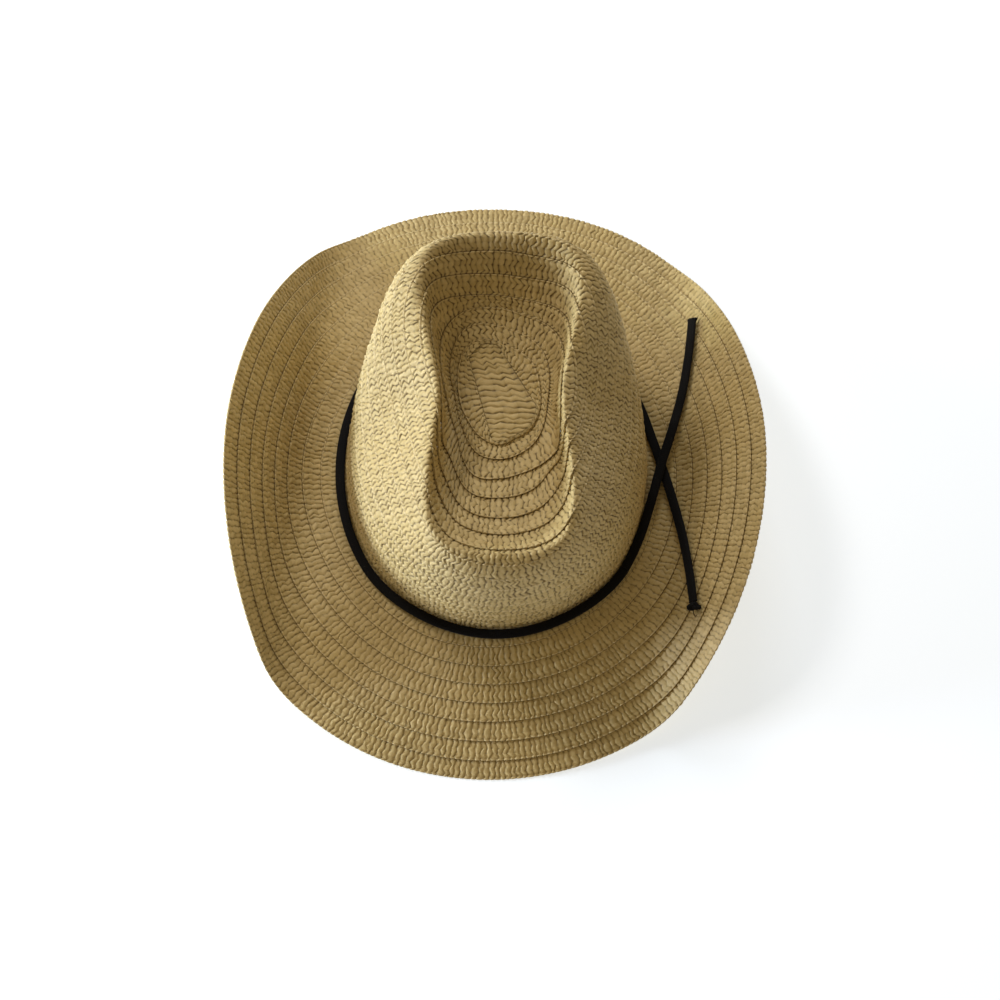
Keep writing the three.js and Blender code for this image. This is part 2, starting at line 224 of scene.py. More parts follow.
def arc_table(steps=1400):
    """Table of u over the angle and the share of arc length from the dent to the foot."""
    columns = ARC_COLUMNS
    t = np.linspace(0, 2 * np.pi, columns + 1)
    u = np.linspace(0, SPANS, steps + 1)
    grid = crown_face(np.broadcast_to(t[:, None], (columns + 1, steps + 1)),
                      np.broadcast_to(u, (columns + 1, steps + 1)))
    run = np.linalg.norm(np.diff(grid, axis=1), axis=2).cumsum(1)
    share = np.concatenate([np.zeros((columns + 1, 1)), run / run[:, -1:]], 1)
    lift = 2.0 * np.arange(columns + 1)[:, None]
    wanted = np.linspace(0, 1, ARC_SHARES + 1)
    found = np.interp((wanted + lift).ravel(), (share + lift).ravel(), np.tile(u, columns + 1))
    return found.reshape(columns + 1, ARC_SHARES + 1)


ARC_TABLE = arc_table()


def crown_u(t, share):
    """u at angle t and share of arc length, by bilinear reading of the table."""
    a = np.mod(t / (2 * np.pi), 1.0) * ARC_COLUMNS
    b = np.clip(share, 0, 1) * ARC_SHARES
    i, j = np.minimum(a.astype(int), ARC_COLUMNS - 1), np.minimum(b.astype(int), ARC_SHARES - 1)
    fa, fb = a - i, b - j
    low = ARC_TABLE[i, j] * (1 - fa) + ARC_TABLE[i + 1, j] * fa
    high = ARC_TABLE[i, j + 1] * (1 - fa) + ARC_TABLE[i + 1, j + 1] * fa
    return low * (1 - fb) + high * fb


def unit(v):
    """Vectors divided by their lengths."""
    return v / np.maximum(np.linalg.norm(v, axis=-1, keepdims=True), 1e-12)


def crown_surface(t, share):
    """Point and outward normal of the crown's outer face."""
    u = crown_u(t, share)
    point = crown_face(t, u)
    along = crown_face(t + 0.004, u) - crown_face(t - 0.004, u)
    low = np.clip(u - 0.012, 0, SPANS)
    high = np.clip(u + 0.012, 0, SPANS)
    across = crown_face(t, high) - crown_face(t, low)
    return point, unit(np.cross(across, along))


def brim_width(t):
    """Width of the brim at angle t, from the shares that start at the front."""
    return BRIM_WIDTH * closed_curve(BRIM_SHARES, np.degrees(t) / 30.0 + 3.0)


def bend_tables(start, run, slope, step=0.25, size=260.0):
    """Reach and rise of a strip that bends from flat to its slope: the running integrals of
    the cosine and the sine of slope times ease((s - start) / run)."""
    s = np.arange(0, size, step)
    angle = np.radians(slope) * ease((s - start) / run)
    c, z = np.cos(angle), np.sin(angle)
    reach = np.concatenate([[0], ((c[1:] + c[:-1]) / 2 * step).cumsum()])
    rise = np.concatenate([[0], ((z[1:] + z[:-1]) / 2 * step).cumsum()])
    return s, reach, rise


BEND_TABLES = {k: bend_tables(v[0], v[2], v[3]) for k, v in BRIM_BENDS.items()}


def bent(name, s, column):
    """Reach (column 1) or rise (column 2) of one bend at running length s. Before the bend's
    zero the strip is flat: its reach is s itself and its rise is nothing."""
    table = BEND_TABLES[name]
    inside = np.interp(np.maximum(s, 0.0), table[0], table[column])
    return inside + (np.minimum(s, 0.0) if column == 1 else 0.0)


def brim_face(t, w):
    """Upper face of the brim at angle t and distance w from the crown's foot: the flat point
    foot plus w along the foot's normal, bent upwards at the sides and down at the ends."""
    c, s = np.cos(t), np.sin(t)
    bx, by = FOOT_HALF_WIDTH * c, FOOT_HALF_LENGTH * s
    n = np.hypot(FOOT_HALF_LENGTH * c, FOOT_HALF_WIDTH * s)
    x, y = bx + w * FOOT_HALF_LENGTH * c / n, by + w * FOOT_HALF_WIDTH * s / n
    right, back = x >= 0, y >= 0

    def side(column):
        out = []
        for name in ("right", "left"):
            slant = BRIM_BENDS[name][1]
            out.append(bent(name, np.abs(x) - slant * y, column)
                       - bent(name, np.abs(bx) - slant * by, column))
        return np.where(right, out[0], out[1])

    def end(column):
        out = [bent(name, np.abs(y), column) - bent(name, np.abs(by), column)
               for name in ("back", "front")]
        return np.where(back, out[0], out[1])

    slant = np.where(right, BRIM_BENDS["right"][1], BRIM_BENDS["left"][1])
    far_x = side(1) + np.abs(bx) + slant * (y - by)
    far_y = end(1) + np.abs(by)
    bent_point = np.stack([np.where(right, far_x, -far_x), np.where(back, far_y, -far_y),
                           side(2) + end(2)], -1)
    flat = np.stack([x, y, np.zeros_like(x)], -1)
    return np.where((w <= 0)[..., None], flat, bent_point)


def brim_surface(t, w):
    """Point and upward normal of the brim's upper face."""
    along = brim_face(t + 0.004, w) - brim_face(t - 0.004, w)
    across = brim_face(t, w + 0.3) - brim_face(t, w - 0.3)
    return brim_face(t, w), unit(np.cross(across, along))


def brim_under(x, y):
    """Point and normal of the brim's upper face over the plan points x, y, by Newton's steps
    on the angle and the distance."""
    t = np.arctan2(y / FOOT_HALF_LENGTH, x / FOOT_HALF_WIDTH)
    w = np.hypot(x, y) - np.hypot(FOOT_HALF_WIDTH * np.cos(t), FOOT_HALF_LENGTH * np.sin(t))
    w = np.maximum(w, 0.5)
    for _ in range(12):
        p = brim_face(t, w)
        dt = (brim_face(t + 1e-4, w) - p) / 1e-4
        dw = (brim_face(t, w + 1e-2) - p) / 1e-2
        ex, ey = x - p[..., 0], y - p[..., 1]
        det = dt[..., 0] * dw[..., 1] - dt[..., 1] * dw[..., 0]
        t = t + np.clip((ex * dw[..., 1] - ey * dw[..., 0]) / det, -0.2, 0.2)
        w = np.maximum(w + np.clip((dt[..., 0] * ey - dt[..., 1] * ex) / det, -20, 20), 0.31)
    return brim_surface(t, w)


# The braid

# Where the strands turn across the tape, and how far they have gone there, in strands
TURNS = np.array([-0.3, 0.0, 0.11, 0.38, 0.64, 0.88, 1.0, 1.3])
TURN_PHASES = np.array([0.3, 0.3, 0.04, 0.46, 0.04, 0.44, 0.2, 0.2])
WIDE_TURNS = np.array([-0.3, 0.0, 0.06, 0.19, 0.32, 0.45, 0.57, 0.70, 0.83, 0.95, 1.0, 1.3])
WIDE_PHASES = np.array([0.3, 0.3, 0.0, 0.5, 0.05, 0.55, 0.0, 0.5, 0.05, 0.45, 0.3, 0.3])

# On the crown the strands slant more, and stand a little higher, than on the brim
CROWN_PLAIT = {"phases": np.array([0.42, 0.42, 0.0, 0.6, 0.02, 0.6, 0.3, 0.3]), "relief": 1.25,
               "mirror": 0.2, "wobble": 0.16, "lap": 2.2, "seat": 0.5, "uv_shift": 2.0}

# Strand profile: parts of one strand from gap to gap, and how high each stands
STRAND_PARTS = np.array([0.0, 0.12, 0.37, 0.63, 0.88])
STRAND_HEIGHTS = np.array([0.0, 0.78, 1.0, 1.0, 0.78])

# Cross-section of the tape: share of its width, and side (1 upper face, 0 edge, -1 under face)
SECTION = np.array([
    [-0.12, 1], [0.0, 1], [0.11, 1], [0.245, 1], [0.38, 1], [0.51, 1], [0.64, 1], [0.76, 1],
    [0.88, 1], [0.925, 1], [0.975, 1], [1.0, 0], [0.965, -1], [0.64, -1], [0.38, -1], [0.0, -1],
    [-0.12, -1],
])
WIDE_UPPER = (0.0, 0.02, 0.06, 0.125, 0.19, 0.255, 0.32, 0.385, 0.45, 0.51, 0.57, 0.635, 0.70,
              0.765, 0.83, 0.89, 0.95, 0.98)
WIDE_SECTION = np.array([[v, 1] for v in WIDE_UPPER] + [[1.0, 0], [0.96, -1], [0.5, -1], [0.04, -1]])


def braid_row(surface, low, high, seed, style, closed=True, span=(0.0, 2 * np.pi), drop=1.05):
    """One row of plaited tape between the edges low(a) and high(a) of a surface.

    The strands are counted by the length of the row's middle line. A mesh column lies on
    every part of a strand, moved along the row by the zigzag of the plait and a little at
    random, so that mesh lines follow the strands. The height of a strand is its profile,
    lower where it turns and tilted to one side between two turns; the gap beside it is
    filled where the strands turn and a little at random. The upper face stands at
    lift - drop (1 - v) + relief (height - 1), with a groove inside its outer edge, and the
    under face one thickness lower; v is the share of the tape's width. The part that runs
    under the next row is raised by the seat, to close the slot between the rows. Returns the
    points, the strand count and v as UV, and whether the row is closed.
    """
    rng = np.random.default_rng(seed)
    turns, phases, section = style["turns"], style["phases"], style["section"]
    a = np.linspace(span[0], span[1], 2401)
    middle, _ = surface(a, (low(a) + high(a)) / 2)
    run = np.concatenate([[0], np.linalg.norm(np.diff(middle, axis=0), axis=1).cumsum()])
    strands = max(int(round(run[-1] / style["pitch"])), 6)
    v, side = section[:, 0], section[:, 1]
    count = strands if closed else strands + 1
    k = np.repeat(np.arange(count), len(STRAND_PARTS))
    part = np.tile(STRAND_PARTS, count)
    height = np.tile(STRAND_HEIGHTS, count)
    if not closed:
        keep = slice(0, strands * len(STRAND_PARTS) + 1)
        k, part, height = k[keep], part[keep], height[keep]
    phase = k + part
    # Lines between strands: where each crosses the turns of the plait
    drift = np.convolve(np.tile(rng.normal(0, 1, count), 3), np.hanning(9) / 2.1, "same")
    drift = drift[count:2 * count]
    sway = rng.uniform(0.55, 1.1, (count, len(turns)))
    sway = sway * np.where(rng.random((count, 1)) < style["mirror"], -0.55, 1.0)
    lines = (phases - phases.mean()) * sway + rng.normal(0, style["wobble"], (count, len(turns)))
    lines = lines + drift[:, None] * style["drift"]
    after = np.roll(lines, -1, 0)
    slide = lines[k] * (1 - part[:, None]) + after[k] * part[:, None]
    if not closed:
        slide = slide * ease(np.minimum(phase, strands - phase) / 2.0)[:, None]
    j = np.clip(np.searchsorted(turns, v, side="right") - 1, 0, len(turns) - 2)
    f = (v - turns[j]) / (turns[j + 1] - turns[j])
    slide = slide[:, j] * (1 - f) + slide[:, j + 1] * f
    s = (phase[:, None] + slide) / strands * run[-1]
    s = np.mod(s, run[-1]) if closed else np.clip(s, 0, run[-1])
    at = np.interp(s, run, a)
    lo, hi = low(at), high(at)
    # Width of the tape in millimetres along the row, for the lap and the scalloped edge
    few = a[::40]
    wide = np.linalg.norm(surface(few, high(few))[0] - surface(few, low(few))[0], axis=1)
    wide = np.maximum(np.interp(at, few, wide), 1.0)
    share = v + style["edge"] * (height[:, None] - 0.5) * (v >= 0.96) / wide
    share = np.where(v < 0, -style["lap"] / wide, share)
    point, normal = surface(at, lo + (hi - lo) * share)
    # Height of the plait
    knot = np.exp(-(np.min(np.abs(v[:, None] - turns[None, 2:-2]), axis=1) / style["knot"]) ** 2)
    lean = np.where(j % 2 == 0, 1.0, -1.0) * np.sin(np.pi * np.clip(f, 0, 1)) * (side != 0)
    swell = (1 + rng.normal(0, style["swell"], (count, len(turns))))[k][:, j]
    fill = np.minimum(np.abs(rng.normal(0, 0.24, (count, len(turns)))), 0.6)[k][:, j]
    strand = height[:, None] * swell * (1 - style["dip"] * knot)
    strand = strand + style["tilt"] * lean * (part[:, None] - 0.5)
    body = np.where(part[:, None] == 0.0, fill + 0.12 * knot, strand)
    groove = style["groove"] * np.exp(-((v - 0.925) / 0.03) ** 2) * (side > 0)
    body = body * np.where(v < 0.0, 0.5, 1.0) - groove
    plane = style["lift"] - drop * (1 - np.clip(v, 0, 1))
    top = plane + style["relief"] * (body - 1)
    under = plane - style["thickness"] - style["relief"] * 0.8 * (body - 0.6)
    under = np.minimum(under, top - 0.3)
    edge = plane - style["thickness"] * 0.5 + style["relief"] * 0.3 * (body - 1)
    h = np.where(side > 0, top, np.where(side < 0, under, edge)) + style["seat"] * (v < 0)
    point = point + normal * h[..., None]
    uv = np.stack([np.broadcast_to(phase[:, None], s.shape),
                   np.broadcast_to(v + style["uv_shift"], s.shape)], -1)
    return point, uv, closed


def tube_faces(columns, around, closed):
    """Quads of a tube of columns x around points, joined end to end when closed."""
    i = np.arange(columns if closed else columns - 1)
    j = np.arange(around)
    a = (i[:, None] * around + j)
    b = (i[:, None] * around + (j + 1) % around)
    n = ((i[:, None] + 1) % columns)
    c = n * around + (j + 1) % around
    d = n * around + j
    return np.stack([a, b, c, d], -1).reshape(-1, 4)


def put_mesh(name, bodies, material, nodes=(), uv_name="braid"):
    """One piece from several tubes, each given as points (columns, around, 3), UV and closed.

    Vertices and faces go in by foreach_set, and an open tube gets a lid at both ends. The UV
    of a face corner is that of its column and section point, and the last column of a closed
    row reads one count past the first."""
    verts, quads, corner, lids, lid_uv = [], [], [], [], []
    base, first = 0, 0.0
    for point, uv, closed in bodies:
        columns, around = point.shape[:2]
        verts.append(point.reshape(-1, 3))
        q = tube_faces(columns, around, closed)
        u = uv.reshape(-1, 2)[q].copy()
        if closed:
            total = np.round(uv[..., 0].max() + 0.5)
            wrap = q[:, 0:1] // around == columns - 1
            u[:, 2:, 0] += np.where(wrap, total, 0.0)
        u[..., 0] += first
        first += 61.0 + np.ceil(uv[..., 0].max())
        quads.append(q + base)
        corner.append(u.reshape(-1, 2))
        if not closed:
            lids.append(base + np.arange(around)[::-1])
            lids.append(base + (columns - 1) * around + np.arange(around))
            lid_uv.append(uv[0, ::-1] + [first, 0])
            lid_uv.append(uv[-1] + [first, 0])
        base += columns * around
    verts = (np.concatenate(verts) + HAT_ORIGIN) * 0.001
    verts[:, 2] = np.maximum(verts[:, 2], 0.0)
    quads = np.concatenate(quads)
    loops = np.concatenate([quads.ravel()] + lids)
    sizes = np.concatenate([np.full(len(quads), 4)] + [[len(x)] for x in lids]).astype(int)
    uvs = np.concatenate(corner + lid_uv)
    mesh = bpy.data.meshes.new(name)
    mesh.vertices.add(len(verts))
    mesh.vertices.foreach_set("co", verts.astype(np.float32).ravel())
    mesh.loops.add(len(loops))
    mesh.loops.foreach_set("vertex_index", loops.astype(np.int32))
    mesh.polygons.add(len(sizes))
    starts = np.concatenate([[0], sizes.cumsum()[:-1]]).astype(np.int32)
    mesh.polygons.foreach_set("loop_start", starts)
    layer = mesh.uv_layers.new(name=uv_name)
    mesh.update(calc_edges=True)
    mesh.validate()
    layer.data.foreach_set("uv", uvs.astype(np.float32).ravel())
    mesh.polygons.foreach_set("use_smooth", np.ones(len(sizes), bool))
    mesh.materials.append(material)
    piece = bpy.data.objects.new(name, mesh)
    bpy.context.scene.collection.objects.link(piece)
    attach(piece, "root")
    if nodes:
        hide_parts(*nodes)
    triangles = int((sizes - 2).sum())
    print(f"{name}: {triangles} triangles")
    if triangles >= 200000:
        raise RuntimeError(f"{name} has {triangles} triangles")
    return piece


def braid_style(settings):
    """Sizes of the tape in millimetres, from the settings."""
    return {
        "pitch": settings.strand_pitch * 1000,
        "lap": settings.row_lap * 1000,
        "thickness": settings.tape_thickness * 1000,
        "relief": settings.strand_relief * 1000,
        "wobble": settings.strand_wobble,
        "dip": settings.crossing_dip,
        "edge": 0.28,
        "lift": 0.0,
        "drift": 0.22,
        "mirror": 0.42,
        "uv_shift": 0.0,
        "swell": 0.14,
        "tilt": 0.75,
        "knot": 0.05,
        "groove": 0.4,
        "seat": 0.3,
        "turns": TURNS,
        "phases": TURN_PHASES,
        "section": SECTION,
    }


def crown_row(k, style, seed):
    """Row k of the crown, between seams k and k + 1."""
    return braid_row(crown_surface, lambda t: seam_share(k, t), lambda t: seam_share(k + 1, t), seed,
                     {**style, **CROWN_PLAIT})


# Start of the plait in the dent: a wide tape between two slanting lines, inside an oval.
# Each line is a point and its run of x over y, in millimetres.
STRIP_LEFT = (-3.0, -9.8, -0.2554)
STRIP_RIGHT = (1.08, 43.8, -0.585)
OVAL_CENTRE = (1.9, 16.05)
OVAL_HALF = (22.2, 31.4)
STRIP_SPAN = (-13.2, 45.2)
STRIP_LAP = 1.2


def strip_edges(y):
    """Lowest and highest x of the wide tape at y: between the two lines and half a millimetre
    inside the oval."""
    half = OVAL_HALF[0] * np.sqrt(np.clip(1 - ((y - OVAL_CENTRE[1]) / OVAL_HALF[1]) ** 2, 0, 1))
    left = STRIP_LEFT[0] + (y - STRIP_LEFT[1]) * STRIP_LEFT[2]
    right = STRIP_RIGHT[0] + (y - STRIP_RIGHT[1]) * STRIP_RIGHT[2]
    return (np.maximum(left, OVAL_CENTRE[0] - half + 0.5),
            np.minimum(right, OVAL_CENTRE[0] + half - 0.5))


def floor_fit():
    """Coefficients of the dent floor's height over x and y: least squares on the crown's face
    with all products up to the fourth power."""
    t = np.linspace(0, 2 * np.pi, 90)[:, None] * np.ones(24)
    share = np.linspace(0, 2.4 / CROWN_ROWS, 24) * np.ones((90, 1))
    p, _ = crown_surface(t, share)
    p = p.reshape(-1, 3)
    x, y = p[:, 0] / 30, (p[:, 1] - 15) / 30
    terms = np.stack([x ** i * y ** j for i in range(5) for j in range(5 - i)], 1)
    return np.linalg.lstsq(terms, p[:, 2], rcond=None)[0]


FLOOR_FIT = floor_fit()


def floor_height(x, y):
    """Height of the dent floor over x and y."""
    x, y = x / 30, (y - 15) / 30
    powers = [(i, j) for i in range(5) for j in range(5 - i)]
    return sum(c * x ** i * y ** j for c, (i, j) in zip(FLOOR_FIT, powers))


def floor_surface(y, x):
    """Point and normal of the dent floor over x and y."""
    gx = (floor_height(x + 0.2, y) - floor_height(x - 0.2, y)) / 0.4
    gy = (floor_height(x, y + 0.2) - floor_height(x, y - 0.2)) / 0.4
    return np.stack([x, y, floor_height(x, y)], -1), unit(np.stack([-gx, -gy, np.ones_like(gx)], -1))


def strip_share(t):
    """Share of arc at angle t where the wide tape ends, found on a fine run of points."""
    shares = np.linspace(0, 2 / CROWN_ROWS, 160)
    grid_t = np.linspace(0, 2 * np.pi, 361)
    p, _ = crown_surface(grid_t[:, None] * np.ones(160), shares * np.ones((361, 1)))
    low, high = strip_edges(p[..., 1])
    inside = (p[..., 0] >= low) & (p[..., 0] <= high)
    inside &= (p[..., 1] > STRIP_SPAN[0]) & (p[..., 1] < STRIP_SPAN[1])
    last = np.where(inside, np.arange(160), 0).max(1)
    found = np.minimum(shares[last], seam_share(2, grid_t) * 0.9)
    kernel = np.hanning(7) / np.hanning(7).sum()
    smooth = np.convolve(np.concatenate([found[:-1]] * 3), kernel, "same")[360:721]
    return np.interp(np.mod(t, 2 * np.pi), grid_t, smooth)


def start_rows(style):
    """The row round the wide tape, and the wide tape itself, whose edges lie under that row."""
    around = braid_row(crown_surface, strip_share, lambda t: seam_share(2, t), 501,
                       {**style, **CROWN_PLAIT, "lap": 0.1}, drop=0.3)
    wide = {**style, **CROWN_PLAIT, "turns": WIDE_TURNS, "phases": WIDE_PHASES, "section": WIDE_SECTION,
            "lap": 0.0, "knot": 0.025, "groove": 0.0, "lift": -0.8, "mirror": 0.3, "wobble": 0.17,
            "pitch": 3.2}
    strip = braid_row(floor_surface, lambda y: strip_edges(y)[0] - STRIP_LAP,
                      lambda y: strip_edges(y)[1] + STRIP_LAP, 502, wide, closed=False,
                      span=STRIP_SPAN, drop=0.0)
    return [around, strip]


def brim_row(k, style, seed):
    """Row k of the brim counted from its outer edge, each a row width inside the last; near
    the foot a smooth maximum keeps the rows from running under the crown."""
    def edge(t, n):
        wanted = brim_width(t) - n * BRIM_ROW_WIDTH + 0.25 * np.sin(3 * t + n) * (n > 0)
        least = -1.4 - front_draw(-np.sin(t)) + 1.3 * (BRIM_ROWS - n)
        if n == 0:
            return wanted
        return 0.5 * (wanted + least + np.sqrt((wanted - least) ** 2 + 0.36))

    return braid_row(brim_surface, lambda t: edge(t, k + 1), lambda t: edge(t, k), seed, style)


# Materials


class Value:
    """A socket that takes part in Python arithmetic; each operator adds a Math node."""

    def __init__(self, finish, socket):
        self.finish = finish
        self.socket = socket

    def math(self, operation, *others, clamp=False):
        """A Math node with this value as its first input."""
        node = self.finish.node("ShaderNodeMath", {"operation": operation, "use_clamp": clamp},
                                dict(enumerate((self, *others))))
        return Value(self.finish, node.outputs[0])

    def __add__(self, other):
        return self.math("ADD", other)

    __radd__ = __add__

    def __mul__(self, other):
        return self.math("MULTIPLY", other)

    __rmul__ = __mul__

    def __sub__(self, other):
        return self.math("SUBTRACT", other)

    def __rsub__(self, other):
        return (self * -1.0) + other

    def held(self):
        """This value held between 0 and 1."""
        return self.math("ADD", 0.0, clamp=True)

    def between(self, low, high):
        """Smooth step of this value from low to high."""
        node = self.finish.node("ShaderNodeMapRange", {"interpolation_type": "SMOOTHSTEP"},
                                {"Value": self, "From Min": low, "From Max": high})
        return Value(self.finish, node.outputs["Result"])


class Finish:
    """A material under construction: its node tree and the one method that adds nodes."""

    def __init__(self, name):
        self.material = bpy.data.materials.new(name)
        self.material.use_nodes = True
        self.tree = self.material.node_tree
        self.tree.nodes.clear()

    def node(self, kind, settings=None, sockets=None):
        """A node of one kind: its settings first, then the values or links of its sockets."""
        node = self.tree.nodes.new(kind)
        for key, value in (settings or {}).items():
            setattr(node, key, value)
        for key, value in (sockets or {}).items():
            if isinstance(value, Value):
                self.tree.links.new(value.socket, node.inputs[key])
            elif isinstance(value, bpy.types.NodeSocket):
                self.tree.links.new(value, node.inputs[key])
            else:
                node.inputs[key].default_value = value
        return node

    def value(self, kind, output, settings=None, sockets=None):
        """A node's output as a Value."""
        return Value(self, self.node(kind, settings, sockets).outputs[output])

    def mix(self, factor, first, second):
        """Colour mixed from two colours by a factor."""
        node = self.node("ShaderNodeMix", {"data_type": "RGBA"},
                         {"Factor": factor, 6: first, 7: second})
        return node.outputs[2]

    def braid_place(self):
        """The braid UV as two Values: the count along the braid, and the share of its width."""
        uv = self.node("ShaderNodeUVMap", {"uv_map": "braid"})
        parts = self.node("ShaderNodeSeparateXYZ", None, {0: uv.outputs[0]})
        return Value(self, parts.outputs[0]), Value(self, parts.outputs[1])

    def chance(self, *numbers):
        """A random Value between 0 and 1 for every set of three numbers."""
        cell = self.node("ShaderNodeCombineXYZ", None, dict(enumerate(numbers)))
        return self.value("ShaderNodeTexWhiteNoise", "Value", {"noise_dimensions": "3D"},
                          {"Vector": cell.outputs[0]})

    def noise(self, vector, scale, detail=2.0, rough=0.5):
        """Noise value over a vector."""
        return self.value("ShaderNodeTexNoise", "Fac", None,
                          {"Vector": vector, "Scale": scale, "Detail": detail, "Roughness": rough})

    def finish(self, shader_sockets, height=None, strength=0.3, distance=0.0003):
        """Principled shader, with a Bump node on its normal, and the output."""
        if height is not None:
            bump = self.node("ShaderNodeBump", None,
                             {"Height": height, "Strength": strength, "Distance": distance})
            shader_sockets = {**shader_sockets, "Normal": bump.outputs["Normal"]}
        shader = self.node("ShaderNodeBsdfPrincipled", None, shader_sockets)
        self.node("ShaderNodeOutputMaterial", None, {"Surface": shader.outputs[0]})
        return self.material


def rgba(colour):
    """A colour setting as four numbers."""
    return (*colour, 1.0)


def plaited_straw(settings):
    """Paper straw: every strand has a tone of its own and fine fibres run along it. Painted
    shade darkens the gaps between strands and the pits where they turn, more on the crown and
    on some at random. The outer edge of each row has a pale painted highlight, painted shade
    on its edge face and a painted shadow line beyond it, at the inner edge of the next row.
    The braid UV counts strands in U and the tape's width in V, to which the crown's rows add 2."""
    f = Finish("plaited_straw")
    u, v = f.braid_place()
    on_crown = v.math("GREATER_THAN", 1.5)
    v = v - on_crown * 2.0
    place = f.node("ShaderNodeTexCoord").outputs["Object"]
    strand = u.math("FLOOR")
    in_strand = u - strand
    column = (v.math("GREATER_THAN", 0.11) + v.math("GREATER_THAN", 0.38)
              + v.math("GREATER_THAN", 0.64) + v.math("GREATER_THAN", 0.89))
    tone = f.chance(strand, column, 0.37)
    fibre_place = f.node("ShaderNodeCombineXYZ", None,
                         {0: u * 16.0, 1: v * 5.0, 2: tone * 40.0 + column * 3.0})
    fibre = f.noise(fibre_place.outputs[0], 1.0, 3.0, 0.6)
    patches = f.noise(place, 26.0, 2.0, 0.5)
    specks = f.noise(place, 420.0, 2.0, 0.6)
    crinkle = f.noise(place, 900.0, 2.0, 0.6)
    from_gap = 0.5 - (in_strand - 0.5).math("ABSOLUTE")
    from_turn = (v - 0.11).math("ABSOLUTE")
    for turn in TURNS[3:6]:
        from_turn = from_turn.math("MINIMUM", (v - float(turn)).math("ABSOLUTE"))
    opened = from_turn.between(0.0, 0.09)
    chance = f.chance((u + 0.5).math("FLOOR"), column, 5.61)
    # Painted shade in the gaps between strands and in the pits where they turn: stronger on the crown,
    # and shown more on some strands at random
    shade_depth = on_crown * 0.32 + 0.5
    shown = chance.between(0.15, 0.85)
    gap = (1.0 - from_gap.between(0.01, 0.15)) * (opened * 0.4 + 0.6) * (shown * 0.8 + 0.2) * shade_depth
    pit_shade = (1.0 - from_gap.between(0.05, 0.34)) * (1.0 - opened) * (shown * 0.5 + 0.5) * shade_depth
    # Painted shade on the outer edge face of each row, and a painted shadow line at its inner edge,
    # just beyond the edge of the row that lies over it
    edge_shade = v.between(0.985, 1.0) * 0.6 + (1.0 - v.between(0.0, 0.05)) * 0.8
    # Painted highlight: a pale line along each row just inside its outer edge
    edge_highlight = v.between(0.925, 0.955) * (1.0 - v.between(0.97, 0.99))
    colour = f.mix(tone, rgba(settings.tone_dark), rgba(settings.tone_light))
    colour = f.mix(patches.between(0.35, 0.7) * 0.45, colour, rgba(settings.tone_yellow))
    colour = f.mix((fibre.between(0.35, 0.75)) * 0.35, colour, rgba(settings.tone_fibre_and_highlight))
    colour = f.mix(specks.between(0.66, 0.8) * 0.35, colour, rgba(settings.tone_speck))
    # The pale fibre colour also paints the highlight along the outer edge of each row
    colour = f.mix(edge_highlight * 0.55, colour, rgba(settings.tone_fibre_and_highlight))
    # Painted shade: the gaps, the pits and the row edges are mixed toward the dark shade colour
    colour = f.mix((gap + pit_shade + edge_shade).held() * settings.painted_shade_strength, colour, rgba(settings.tone_painted_shade))
    rough = fibre * 0.16 + settings.roughness - 0.08
    height = fibre * 0.5 + crinkle * 0.3 - gap * 0.7 - pit_shade * 0.5 + edge_highlight * 0.3
    return f.finish({"Base Color": colour, "Roughness": rough, "Specular IOR Level": 0.3},
                    height, 0.55, 0.0004)


def black_lace(settings):
    """Matt black braided lace: near-black yarns, a faint painted highlight on each yarn's crown."""
    f = Finish("black_lace")
    u, v = f.braid_place()
    place = f.node("ShaderNodeTexCoord").outputs["Object"]
    fuzz = f.noise(place, 2600.0, 2.0, 0.6)
    lint = f.noise(place, 900.0, 1.0, 0.5)
    ridge = (u * 6.2832).math("COSINE") * 0.5 + 0.5
    # Painted highlight: the colour grows lighter toward the crown of each yarn
    colour = f.mix(ridge * 0.6, rgba(settings.colour), rgba(settings.colour_yarn_highlight))
    colour = f.mix(lint.between(0.74, 0.8) * 0.5, colour, (0.09, 0.085, 0.08, 1.0))
    rough = fuzz * 0.12 + 0.72
    return f.finish({"Base Color": colour, "Roughness": rough, "Specular IOR Level": 0.15,
                     "Sheen Weight": 0.04, "Sheen Roughness": 0.5}, fuzz + ridge * 0.4, 0.4, 0.0002)


def floor_finish(settings):
    """Plain pale floor."""
    f = Finish("pale_floor")
    return f.finish({"Base Color": rgba(settings.floor_colour), "Roughness": 0.9,
                     "Specular IOR Level": 0.2, "Emission Color": (0.88, 0.94, 1.0, 1.0),
                     "Emission Strength": settings.floor_glow})


# The lace


def centripetal_curve(points, q):
    """Curve through the points, read at q from 0 to 1 in equal steps from point to point: on
    each stretch a cubic whose knots lie apart by the root of the chord, with the first and the
    last chord mirrored beyond the ends."""
    row = np.concatenate([[2 * points[0] - points[1]], points, [2 * points[-1] - points[-2]]])
    last = len(points) - 1
    i = np.minimum((q * last).astype(int), last - 1)
    a, b, c, d = (row[i + k] for k in range(4))
    before, here, after = (np.sqrt(np.linalg.norm(second - first, axis=1))[:, None]
                           for first, second in ((a, b), (b, c), (c, d)))
    leave = ((b - a) / before - (c - a) / (before + here) + (c - b) / here) * here
    reach = ((c - b) / here - (d - b) / (here + after) + (d - c) / after) * here
    return hermite(b, c, leave, reach, (q * last - i)[:, None])


def even_steps(points, count):
    """Places q on the centripetal curve through the points, with equal lengths between them."""
    q = np.linspace(0, 1, 201)
    run = np.linalg.norm(np.diff(centripetal_curve(points, q), axis=0), axis=1).cumsum()
    return np.interp(np.linspace(0, run[-1], count + 1), np.concatenate([[0], run]), q)


